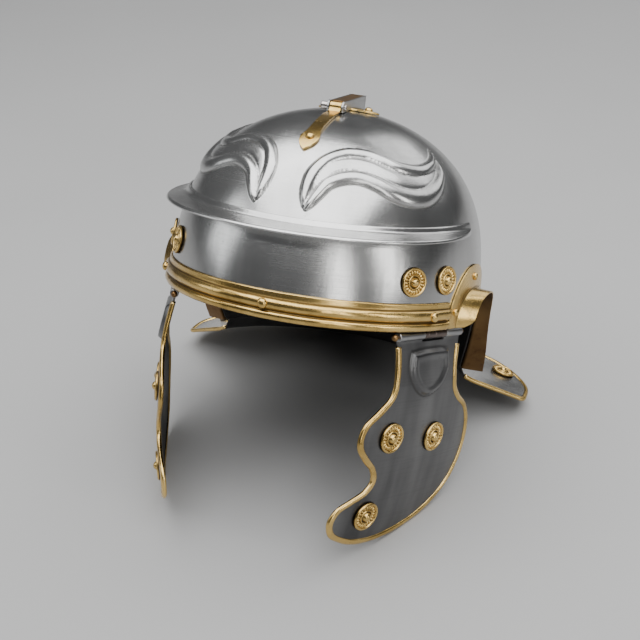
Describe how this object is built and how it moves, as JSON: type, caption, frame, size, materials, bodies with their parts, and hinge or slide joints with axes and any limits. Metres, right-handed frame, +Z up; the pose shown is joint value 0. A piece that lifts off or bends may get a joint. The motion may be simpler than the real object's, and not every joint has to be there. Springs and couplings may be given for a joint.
{
  "type": "roman legionary helmet",
  "caption": "Steel helmet with a round crown, brow peak, broad neck guard, ear guards and swinging cheek guards, trimmed in brass, with a crest holder on top.",
  "frame": {"origin": "on the floor under the middle of the helmet's bounding box, as it stands on both cheek guards and the rear edge of the neck guard", "axes": "+Z up, -Y the way the face looks, +X the wearer's left"},
  "size_m": [0.27, 0.2828, 0.2385],
  "materials": {
    "steel": "hand-polished steel sheet, bright, with fine streaks",
    "dark_steel": "satin steel, darker than the bowl",
    "brass": "aged polished brass"
  },
  "bodies": {
    "shell": {"bowl": "steel", "brow_peak": "steel", "brow_band": "brass", "brow_band_rivet_left": "brass", "brow_band_rivet_centre": "brass", "brow_band_rivet_right": "brass", "crest_saddle": "brass", "crest_channel": "dark_steel", "crest_pin": "dark_steel", "crest_rivet_front": "brass", "crest_rivet_rear": "brass", "crest_rivet_left": "brass", "crest_rivet_right": "brass", "ear_guard_left": "brass", "ear_guard_left_rivet_top": "brass", "ear_guard_left_rivet_front": "brass", "ear_guard_left_rivet_rear": "brass", "bowl_rosette_left_front": "brass", "bowl_rosette_left_rear": "brass", "neck_rosette_left": "brass", "hinge_leaf_left": "dark_steel", "hinge_pin_left": "brass", "ear_guard_right": "brass", "ear_guard_right_rivet_top": "brass", "ear_guard_right_rivet_front": "brass", "ear_guard_right_rivet_rear": "brass", "bowl_rosette_right_front": "brass", "bowl_rosette_right_rear": "brass", "neck_rosette_right": "brass", "hinge_leaf_right": "dark_steel", "hinge_pin_right": "brass", "neck_edging": "brass"},
    "cheek_left": {"cheek_guard_left": "dark_steel", "cheek_edging_left": "brass", "cheek_rosette_left_front": "brass", "cheek_rosette_left_rear": "brass", "cheek_rosette_left_tip": "brass"},
    "cheek_right": {"cheek_guard_right": "dark_steel", "cheek_edging_right": "brass", "cheek_rosette_right_front": "brass", "cheek_rosette_right_rear": "brass", "cheek_rosette_right_tip": "brass"}
  },
  "joints": [
    {"name": "cheek_left_hinge", "type": "hinge", "parent": "shell", "child": "cheek_left", "pos_m": [0.08683, -0.04562, 0.12405], "axis": [-0.4004, -0.8504, 0.3415], "range_deg": [-15, 60]},
    {"name": "cheek_right_hinge", "type": "hinge", "parent": "shell", "child": "cheek_right", "pos_m": [-0.08683, -0.04562, 0.12405], "axis": [-0.4004, 0.8504, -0.3415], "range_deg": [-15, 60]}
  ]
}
